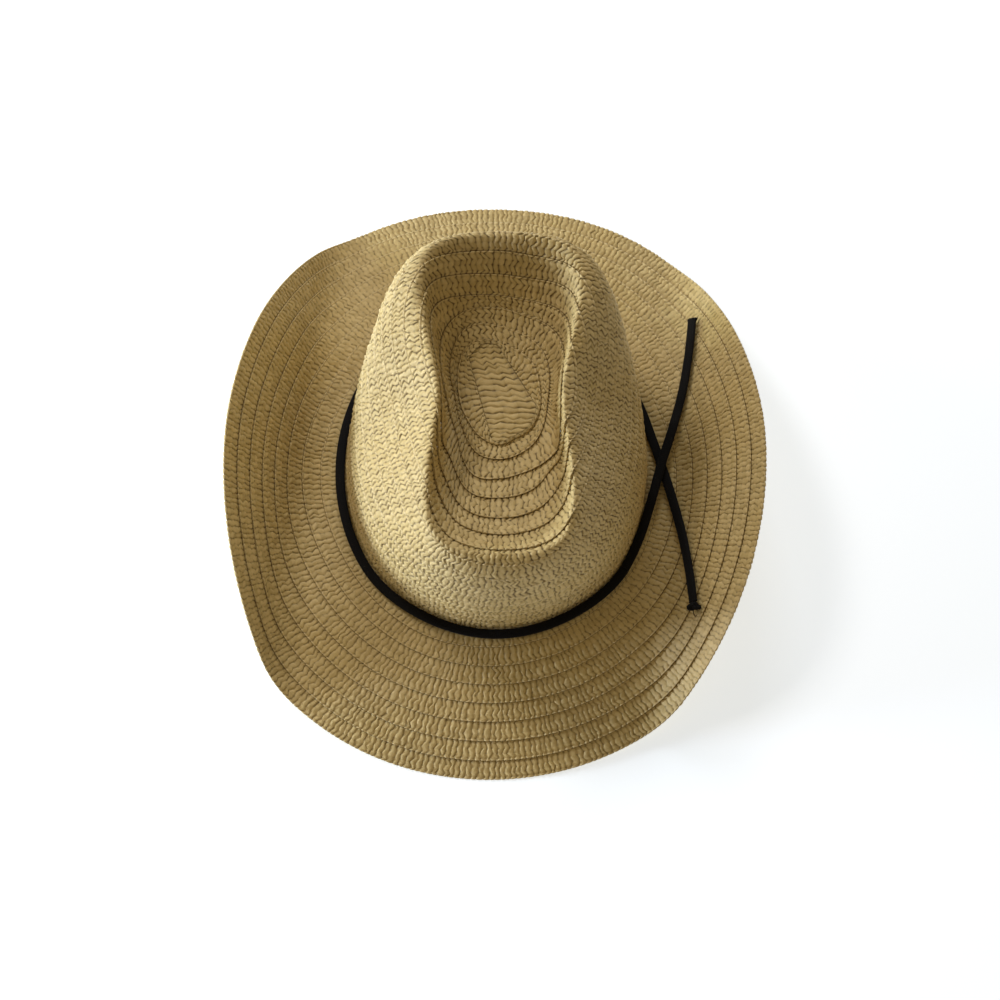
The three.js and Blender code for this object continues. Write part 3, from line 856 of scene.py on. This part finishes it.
def brim_top(x, y):
    """Height of the brim's upper face over one point of the plan, found as in the part's source:
    the nearest point of a coarse grid of angles and distances, then of a fine one round it."""
    steps = np.arange(-20, 21) / 20
    t, w = math.atan2(y / FOOT_HALF_LENGTH, x / FOOT_HALF_WIDTH), 0.37 * BRIM_WIDTH
    for span_t, span_w in ((0.2, 0.42 * BRIM_WIDTH), (0.02, 0.036 * BRIM_WIDTH)):
        angles, far = np.meshgrid(t + span_t * steps, np.maximum(w + span_w * steps, 0), indexing="ij")
        p = brim_face(angles, far)
        best = np.argmin(np.hypot(p[..., 0] - x, p[..., 1] - y))
        t, w = angles.flat[best], far.flat[best]
    return p[..., 2].flat[best]


def tail_points(shares, lift_over, count):
    """Points of a free end: evenly spaced along the plan curve through its chosen points, and
    as high as the highest of the brim under its middle and both its edges, plus the gap and
    half its thickness. The upper one is lifted over the other along the stretch where they
    cross, and the first point lies as high as the second. The curve through these points is
    then divided into count equal stretches, to a hundredth of a millimetre."""
    plan = shares * [FOOT_HALF_WIDTH, FOOT_HALF_LENGTH]
    at = even_steps(plan, TAIL_POINTS)
    place = centripetal_curve(plan, at)
    along = unit(centripetal_curve(plan, np.minimum(at + 1e-4, 1))
                 - centripetal_curve(plan, np.maximum(at - 1e-4, 0)))
    across = np.stack([along[:, 1], -along[:, 0]], 1) * LACE_WIDTH / 2
    under = np.max([[brim_top(x, y) for x, y in place + across * side] for side in (-1, 0, 1)], axis=0)
    height = under + PIECE_GAP + LACE_THICKNESS / 2
    if lift_over:
        away = np.abs(place[:, 1] / FOOT_HALF_LENGTH - CROSSING_ALONG) / CROSSING_REACH - 1
        height = height + (1 - ease(away)) * (LACE_THICKNESS + 3 * PIECE_GAP)
    height[0] = height[1]
    laid = np.column_stack([place, height])
    return np.round(centripetal_curve(laid, even_steps(laid, count)), 2)


def band_angle(share, turn):
    """Angle on the band where a free end's first point lies, one gap further on."""
    side = LACE_WIDTH / 2 + BAND_STANDOFF
    x = share[0] * FOOT_HALF_WIDTH / (FOOT_HALF_WIDTH + side)
    y = share[1] * FOOT_HALF_LENGTH / (FOOT_HALF_LENGTH + side)
    return math.atan2(y, x) + turn * PIECE_GAP / FOOT_HALF_WIDTH


def smooth_route(points, step):
    """Points every step millimetres on the cubic curve through the route: a Catmull-Rom curve
    on the chord lengths, resampled by its own length."""
    knots = np.concatenate([[0], np.linalg.norm(np.diff(points, axis=0), axis=1).cumsum()])
    slopes = np.gradient(points, knots, axis=0)
    q = np.linspace(0, knots[-1], 4000)
    i = np.clip(np.searchsorted(knots, q, side="right") - 1, 0, len(knots) - 2)
    h = (knots[i + 1] - knots[i])[:, None]
    f = (q - knots[i])[:, None] / h
    dense = hermite(points[i], points[i + 1], h * slopes[i], h * slopes[i + 1], f)
    run = np.concatenate([[0], np.linalg.norm(np.diff(dense, axis=0), axis=1).cumsum()])
    count = int(round(run[-1] / step)) + 1
    at = np.linspace(0, run[-1], count)
    return np.stack([np.interp(at, run, dense[:, k]) for k in range(3)], 1), at


def lace_body(route, up, at, settings, widths=1.0, around=22):
    """Braided flat lace along a route: a superellipse section, its yarns in slanting ridges
    whose slant turns from lane to lane. A ridge is a raised cosine along the lace, higher in
    the middle of its lane."""
    pitch = settings.yarn_pitch * 1000
    along = unit(np.gradient(route, at, axis=0))
    side = unit(np.cross(along, up))
    high = unit(np.cross(side, along))
    q = np.linspace(0, 2 * np.pi, around, endpoint=False)
    c, s = np.cos(q), np.sin(q)
    rho = (np.abs(c) ** LACE_SQUARE + np.abs(s) ** LACE_SQUARE) ** (-1 / LACE_SQUARE)
    x = c * rho * LACE_WIDTH / 2
    y = s * rho * LACE_THICKNESS / 2
    across = np.abs(np.mod(x / LACE_WIDTH * LACE_LANES, 1.0) - 0.5) * 2.0
    phase = at[:, None] / pitch + across * 0.8 + np.where(y < 0, 0.5, 0.0)
    ridge = 0.5 + 0.5 * np.cos(2 * np.pi * phase)
    lane = 0.55 + 0.45 * np.sin(np.pi * across) ** 0.5
    grow = settings.yarn_relief * 1000 * (ridge * lane - 0.6)
    w = np.broadcast_to(widths, at.shape)[:, None]
    px = (x + grow * c) * w
    py = y + grow * s
    point = route[:, None] + side[:, None] * px[..., None] + high[:, None] * py[..., None]
    uv = np.stack([phase, np.broadcast_to(q / (2 * np.pi), phase.shape)], -1)
    return point[:, ::-1], uv[:, ::-1], False


def tail_body(points, settings, widths=None):
    """A free end of the lace that lies on the brim, turned to the brim's slope."""
    route, at = smooth_route(points, 0.45)
    _, normal = brim_under(route[:, 0], route[:, 1])
    kernel = np.hanning(41) / np.hanning(41).sum()
    pad = np.concatenate([np.repeat(normal[:1], 20, 0), normal, np.repeat(normal[-1:], 20, 0)])
    up = unit(np.stack([np.convolve(pad[:, k], kernel, "valid") for k in range(3)], 1))
    w = 1.0 if widths is None else widths(at, at[-1])
    return lace_body(route, up, at, settings, w), route


def cut_end_width(at, length):
    """Width of the cut end: it grows by the flare, by a smooth step over the last stretch."""
    return 1 + CUT_FLARE * ease((at - (length - CUT_STRETCH)) / CUT_STRETCH)


def thin_tubes(routes, radii, around=5):
    """Thin round threads along routes of equal point counts; radii taper to their ends."""
    bodies = []
    q = np.linspace(0, 2 * np.pi, around, endpoint=False)
    for route, radius in zip(routes, radii):
        along = unit(np.gradient(route, axis=0))
        side = unit(np.cross(along, np.array([0.13, 0.21, 0.97])))
        high = np.cross(side, along)
        n = len(route)
        taper = radius * (1 - 0.7 * np.linspace(0, 1, n) ** 2)
        point = (route[:, None] + side[:, None] * (np.cos(q) * taper[:, None])[..., None]
                 + high[:, None] * (np.sin(q) * taper[:, None])[..., None])
        uv = np.stack([np.broadcast_to(np.arange(n)[:, None], (n, around)),
                       np.broadcast_to(q / 6.2832, (n, around))], -1).astype(float)
        bodies.append((point[:, ::-1], uv[:, ::-1], False))
    return bodies


def knot_body(end, along):
    """Small overhand knot: a trefoil curve (sin t + 2 sin 2t, cos t - 2 cos 2t, -sin 3t),
    flattened into the knot's box, with a round braided section. Returns the body, its centre
    and its directions across and up."""
    t = np.linspace(0, 2 * np.pi, 220, endpoint=False)
    across = unit(np.array([-along[1], along[0], 0.0]))
    up = np.cross(along, across)
    up = up * np.sign(up[2])
    centre = end + along * (2.6 + PIECE_GAP) + np.array([0, 0, 0.9])
    x = (np.sin(t) + 2 * np.sin(2 * t)) / 2.76 * KNOT_HALF_WIDTH
    y = (np.cos(t) - 2 * np.cos(2 * t)) / 3.0 * KNOT_HALF_LENGTH
    z = -np.sin(3 * t) * KNOT_HALF_THICKNESS
    route = centre + across * x[:, None] + along * y[:, None] + up * z[:, None]
    tangent = unit(np.roll(route, -1, 0) - np.roll(route, 1, 0))
    side = unit(np.cross(tangent, up + 0.2 * along))
    high = np.cross(side, tangent)
    q = np.linspace(0, 2 * np.pi, 14, endpoint=False)
    grow = KNOT_YARN + 0.09 * np.cos(2 * np.pi * (np.arange(220)[:, None] / 5.5 + q / np.pi))
    point = (route[:, None] + side[:, None] * (np.cos(q) * grow)[..., None]
             + high[:, None] * (np.sin(q) * grow * 0.9)[..., None])
    uv = np.stack([np.broadcast_to(np.arange(220)[:, None] / 5.5, (220, 14)),
                   np.broadcast_to(q / 6.2832, (220, 14))], -1)
    return (point[:, ::-1], uv[:, ::-1], True), centre, across, up


# Settings


def length_setting(name, description, default, most):
    """A length in metres."""
    return bpy.props.FloatProperty(name=name, description=description, default=default,
                                   min=0.0, max=most, unit="LENGTH")


def share_setting(name, description, default):
    """A number between 0 and 1."""
    return bpy.props.FloatProperty(name=name, description=description, default=default,
                                   min=0.0, max=1.0, subtype="FACTOR")


def colour_setting(name, description, default):
    """A colour."""
    return bpy.props.FloatVectorProperty(name=name, description=description, default=default,
                                         min=0.0, max=1.0, subtype="COLOR")


def power_setting(name, description, default):
    """The power of a lamp in watts."""
    return bpy.props.FloatProperty(name=name, description=description, default=default,
                                   min=0.0, max=500.0, subtype="POWER")


class HatStrawSettings(bpy.types.PropertyGroup):
    """Sizes and colours of the plaited tape."""

    strand_pitch: length_setting("Strand pitch", "Distance from one strand to the next along the tape",
        0.0031, 0.008)
    strand_relief: length_setting("Strand relief", "Height of a strand over the gap beside it",
        0.0009, 0.002)
    strand_wobble: share_setting("Strand wobble", "How unevenly the strands lie, in strands", 0.12)
    crossing_dip: share_setting("Crossing dip", "How far a strand sinks where it turns", 0.45)
    tape_thickness: length_setting("Tape thickness", "Thickness of the plaited tape without its relief",
        0.0009, 0.002)
    row_lap: length_setting("Row lap", "How far a row runs under the row inside it", 0.0014, 0.004)
    tone_light: colour_setting("Light strands", "Colour of the lightest strands", (0.68, 0.52, 0.237))
    tone_dark: colour_setting("Dark strands", "Colour of the darkest strands", (0.51, 0.376, 0.153))
    tone_yellow: colour_setting("Yellowed straw", "Colour of the yellower patches", (0.60, 0.43, 0.152))
    # This pale fibre colour is also the painted highlight along the outer edge of each row
    tone_fibre_and_highlight: colour_setting("Fibres", "Colour of the pale fibres along a strand",
        (0.77, 0.615, 0.33))
    tone_speck: colour_setting("Specks", "Colour of the small brown specks", (0.26, 0.16, 0.07))
    # Painted shade: this colour darkens the gaps between strands, the pits where they turn, each row's
    # outer edge face and a line at its inner edge; the setting below sets how strongly
    tone_painted_shade: colour_setting("Gaps", "Colour in the gaps between strands", (0.075, 0.043, 0.014))
    painted_shade_strength: share_setting("Gap darkness", "How strongly the gaps are darkened", 0.8)
    roughness: share_setting("Roughness", "Roughness of the paper straw", 0.56)


class HatLaceSettings(bpy.types.PropertyGroup):
    """Sizes and colours of the lace."""

    yarn_pitch: length_setting("Yarn pitch", "Distance between yarns along the lace", 0.00115, 0.003)
    yarn_relief: length_setting("Yarn relief", "Height of a yarn over its neighbours' gap",
        0.00022, 0.001)
    colour: colour_setting("Lace", "Colour between the yarns", (0.0022, 0.002, 0.0022))
    # Painted highlight: the lace takes this lighter colour on the crown of each yarn
    colour_yarn_highlight: colour_setting("Raised yarns", "Colour on the yarns", (0.0085, 0.0075, 0.0078))


class HatStageSettings(bpy.types.PropertyGroup):
    """Floor, light and camera."""

    floor_colour: colour_setting("Floor", "Colour of the floor", (0.80, 0.84, 0.90))
    floor_glow: bpy.props.FloatProperty(
        name="Floor glow", description="Light that the floor gives off, as a lit table does",
        default=0.62, min=0.0, max=2.0)
    key_power: power_setting("Key light", "Power of the broad low light at the left", 31.5)
    fill_power: power_setting("Fill light", "Power of the soft light behind the hat", 8.5)
    sky: bpy.props.FloatProperty(
        name="Sky", description="Strength of the even light from all round",
        default=0.28, min=0.0, max=5.0)
    elevation: bpy.props.FloatProperty(
        name="Camera elevation", description="Angle of the camera over the floor",
        default=math.radians(68.0), min=0.0, max=math.radians(90.0), subtype="ANGLE")
    distance: length_setting("Camera distance", "Distance from the camera to the foot of the crown",
        1.15, 10.0)
    lens: bpy.props.FloatProperty(
        name="Lens", description="Focal length of the camera in millimetres",
        default=72.24, min=10.0, max=300.0)


# Operators


def put_braids(settings, node, groups):
    """One mesh for each named group of rows, all in the same straw, in place of a CAD node."""
    straw = bpy.data.materials.get("plaited_straw") or plaited_straw(settings)
    for name, bodies in groups.items():
        put_mesh(name, bodies, straw, (node,))


class HAT_OT_crown_braid(bpy.types.Operator):
    """Build the rows of the crown as real plaited tape"""

    bl_idname = "hat.crown_braid"
    bl_label = "Crown braid"

    def execute(self, context):
        style = braid_style(context.scene.hat_straw)
        rows = {k: crown_row(k, style, 100 + k) for k in range(2, CROWN_ROWS)}
        put_braids(context.scene.hat_straw, "crown", {
            "crown_dent_braid": start_rows(style) + [rows[k] for k in range(2, 9)],
            "crown_ridge_braid": [rows[k] for k in range(9, 14)],
            "crown_wall_braid": [rows[k] for k in range(14, CROWN_ROWS)],
        })
        return {"FINISHED"}


class HAT_OT_brim_braid(bpy.types.Operator):
    """Build the rows of the brim as real plaited tape"""

    bl_idname = "hat.brim_braid"
    bl_label = "Brim braid"

    def execute(self, context):
        style = braid_style(context.scene.hat_straw)
        edge = {**style, "thickness": 1.5}
        rows = {k: brim_row(k, edge if k == 0 else style, 200 + k) for k in range(BRIM_ROWS)}
        put_braids(context.scene.hat_straw, "brim", {
            "brim_edge_braid": [rows[k] for k in range(0, 3)],
            "brim_middle_braid": [rows[k] for k in range(3, 6)],
            "brim_inner_braid": [rows[k] for k in range(6, BRIM_ROWS)],
        })
        return {"FINISHED"}


class HAT_OT_lace(bpy.types.Operator):
    """Build the lace: the band round the crown, its two free ends, the knot and loose threads"""

    bl_idname = "hat.lace"
    bl_label = "Lace"

    def execute(self, context):
        settings = context.scene.hat_lace
        black = black_lace(settings)
        t = np.linspace(band_angle(LOWER_TAIL[0], 1), 2 * np.pi + band_angle(UPPER_TAIL[0], -1), 900)
        side = LACE_WIDTH / 2 + BAND_STANDOFF
        ring = np.stack([(FOOT_HALF_WIDTH + side) * np.cos(t),
                         (FOOT_HALF_LENGTH + side) * np.sin(t) + front_draw(-np.sin(t)),
                         np.full_like(t, BAND_LIFT + LACE_THICKNESS / 2)], 1)
        route, at = smooth_route(ring, 0.5)
        up = np.broadcast_to(np.array([0.0, 0.0, 1.0]), route.shape)
        put_mesh("lace_band", [lace_body(route, up, at, settings)], black, ("band",))
        upper_points = tail_points(UPPER_TAIL, True, UPPER_STRETCHES)
        lower_points = tail_points(LOWER_TAIL, False, LOWER_STRETCHES)
        upper_body, upper_route = tail_body(upper_points, settings, cut_end_width)
        lower_body, lower_route = tail_body(lower_points, settings)
        q = np.linspace(0, 1, 7)[:, None]
        ahead = unit(upper_route[-1] - upper_route[-8])
        beside = unit(np.array([ahead[1], -ahead[0], 0.0]))
        frayed = [upper_route[-1] + beside * (at + q * 0.9) + ahead * (q * long - 0.8)
                  for at, long in ((2.3, 2.6), (1.7, 1.6), (-2.2, 1.5))]
        upper = put_mesh("lace_upper_end", [upper_body] + thin_tubes(frayed, [0.42, 0.3, 0.3]), black,
                         ("upper_tail",))
        lower = put_mesh("lace_lower_end", [lower_body], black, ("lower_tail",))
        along = unit(lower_route[-1] - lower_route[-8])
        body, centre, across, high = knot_body(lower_route[-1], along)
        knot = put_mesh("lace_end_knot", [body], black, ("end_knot",))
        rng = np.random.default_rng(71)
        bow = np.linspace(0, 1, 13)[:, None]
        loose = (centre + along * (1.8 + 3.6 * np.sin(2.4 * bow)) + across * (2.2 * bow * bow - 0.6)
                 - high * (1.3 * bow))
        hairs, radii = [loose], [0.3]
        for n in range(26):
            turn = rng.uniform(-1.1, 1.1)
            out = across * math.copysign(math.cos(turn), rng.uniform(-1, 1)) + along * math.sin(turn)
            start = centre + out * 2.2 * np.array([1, 1, 0.4]) + high * rng.uniform(-0.4, 0.5)
            length = rng.uniform(1.6, 3.4)
            curl = along * rng.normal(0, 0.5) + high * rng.uniform(-0.3, 0.25)
            hairs.append(start + out * q * length + curl * q * q * length)
            radii.append(0.07)
        fibres = put_mesh("lace_knot_fibres", thin_tubes(hairs, radii), black, ())
        for name, piece, body_route, far, extra in (
                ("upper", upper, upper_route, "bare", ()),
                ("lower", lower, lower_route, "knot", (knot, fibres))):
            path = (body_route + HAT_ORIGIN) * 0.001
            length = float(np.linalg.norm(np.diff(path, axis=0), axis=1).sum())
            [tuple(p) for p in path[::6]] + [tuple(path[-1])]
        return {"FINISHED"}


class HAT_OT_stage(bpy.types.Operator):
    """Set up the floor, the light and the camera"""

    bl_idname = "hat.stage"
    bl_label = "Stage"

    def execute(self, context):
        settings = context.scene.hat_stage
        mesh = bpy.data.meshes.new("floor")
        mesh.from_pydata([(-6, -6, 0), (6, -6, 0), (6, 6, 0), (-6, 6, 0)], [], [(0, 1, 2, 3)])
        mesh.materials.append(floor_finish(settings))
        floor = bpy.data.objects.new("floor", mesh)
        floor.location.z = -0.0002
        context.scene.collection.objects.link(floor)
        look_at = HAT_ORIGIN * 0.001
        key, fill = settings.key_power, settings.fill_power
        # Place in metres, power in watts, width and height in metres, colour
        lights = {
            "key_light": ((-1.79, 0.0, 0.26), key, (0.5, 0.4), (0.69, 0.78, 1.0)),
            "key_side_light": ((-1.72, 0.43, 0.38), key * 0.285, (0.5, 0.4), (0.82, 1.0, 0.8)),
            "back_light": ((0.0, 1.56, 0.97), fill * 0.8, (0.5, 0.4), (0.83, 0.89, 1.0)),
            "back_side_light": ((-0.9, 0.9, 1.34), fill * 1.15, (0.5, 0.4), (1.0, 0.96, 0.94)),
        }
        for name, (place, power, size, colour) in lights.items():
            data = bpy.data.lights.new(name, "AREA")
            data.shape = "RECTANGLE"
            data.size, data.size_y = size
            data.energy = power
            data.color = colour
            lamp = bpy.data.objects.new(name, data)
            lamp.location = place
            lamp.rotation_euler = direction_euler(look_at + MIDDLE_OF_HAT - np.array(place))
            lamp.visible_camera = False
            context.scene.collection.objects.link(lamp)
        world = bpy.data.worlds.new("studio")
        world.use_nodes = True
        background = world.node_tree.nodes["Background"]
        background.inputs[0].default_value = SKY_COLOUR
        background.inputs[1].default_value = settings.sky
        context.scene.world = world
        context.scene.view_settings.view_transform = "Standard"
        data = bpy.data.cameras.new("camera")
        data.lens = settings.lens
        data.sensor_width = 36.0
        data.shift_x = 0.004
        data.shift_y = -0.0308
        camera = bpy.data.objects.new("camera", data)
        away = np.array([0.0, -math.cos(settings.elevation), math.sin(settings.elevation)])
        camera.location = look_at + away * settings.distance
        camera.rotation_euler = direction_euler(-away)
        context.scene.collection.objects.link(camera)
        context.scene.camera = camera
        return {"FINISHED"}


def direction_euler(direction):
    """Euler angles that turn an object's -Z along a direction, with its Y upwards."""
    return Vector(direction).to_track_quat("-Z", "Y").to_euler()


class HAT_PT_panel(bpy.types.Panel):
    """Lists the sizes, colours and steps of the hat"""

    bl_idname = "HAT_PT_panel"
    bl_label = "Straw hat"
    bl_space_type = "VIEW_3D"
    bl_region_type = "UI"
    bl_category = "Straw hat"

    def draw(self, context):
        for title, group in (("Straw", context.scene.hat_straw), ("Lace", context.scene.hat_lace),
                             ("Stage", context.scene.hat_stage)):
            box = self.layout.box()
            box.label(text=title)
            for key in group.__annotations__:
                box.prop(group, key)
        for operator in OPERATORS:
            self.layout.operator(operator.bl_idname)


OPERATORS = (HAT_OT_stage, HAT_OT_lace, HAT_OT_crown_braid, HAT_OT_brim_braid)
GROUPS = {"hat_straw": HatStrawSettings, "hat_lace": HatLaceSettings, "hat_stage": HatStageSettings}


def register():
    """Register the classes and hang the settings on the scene."""
    for item in (*GROUPS.values(), *OPERATORS, HAT_PT_panel):
        bpy.utils.register_class(item)
    for name, group in GROUPS.items():
        setattr(bpy.types.Scene, name, bpy.props.PointerProperty(type=group))


def unregister():
    """Take the settings and the classes away again."""
    for name in GROUPS:
        delattr(bpy.types.Scene, name)
    for item in (HAT_PT_panel, *reversed(OPERATORS), *reversed(tuple(GROUPS.values()))):
        bpy.utils.unregister_class(item)


def main():
    """Build everything in order."""
    register()
    bpy.ops.hat.stage()
    bpy.ops.hat.lace()
    bpy.ops.hat.crown_braid()
    bpy.ops.hat.brim_braid()


if __name__ == "__main__":
    main()
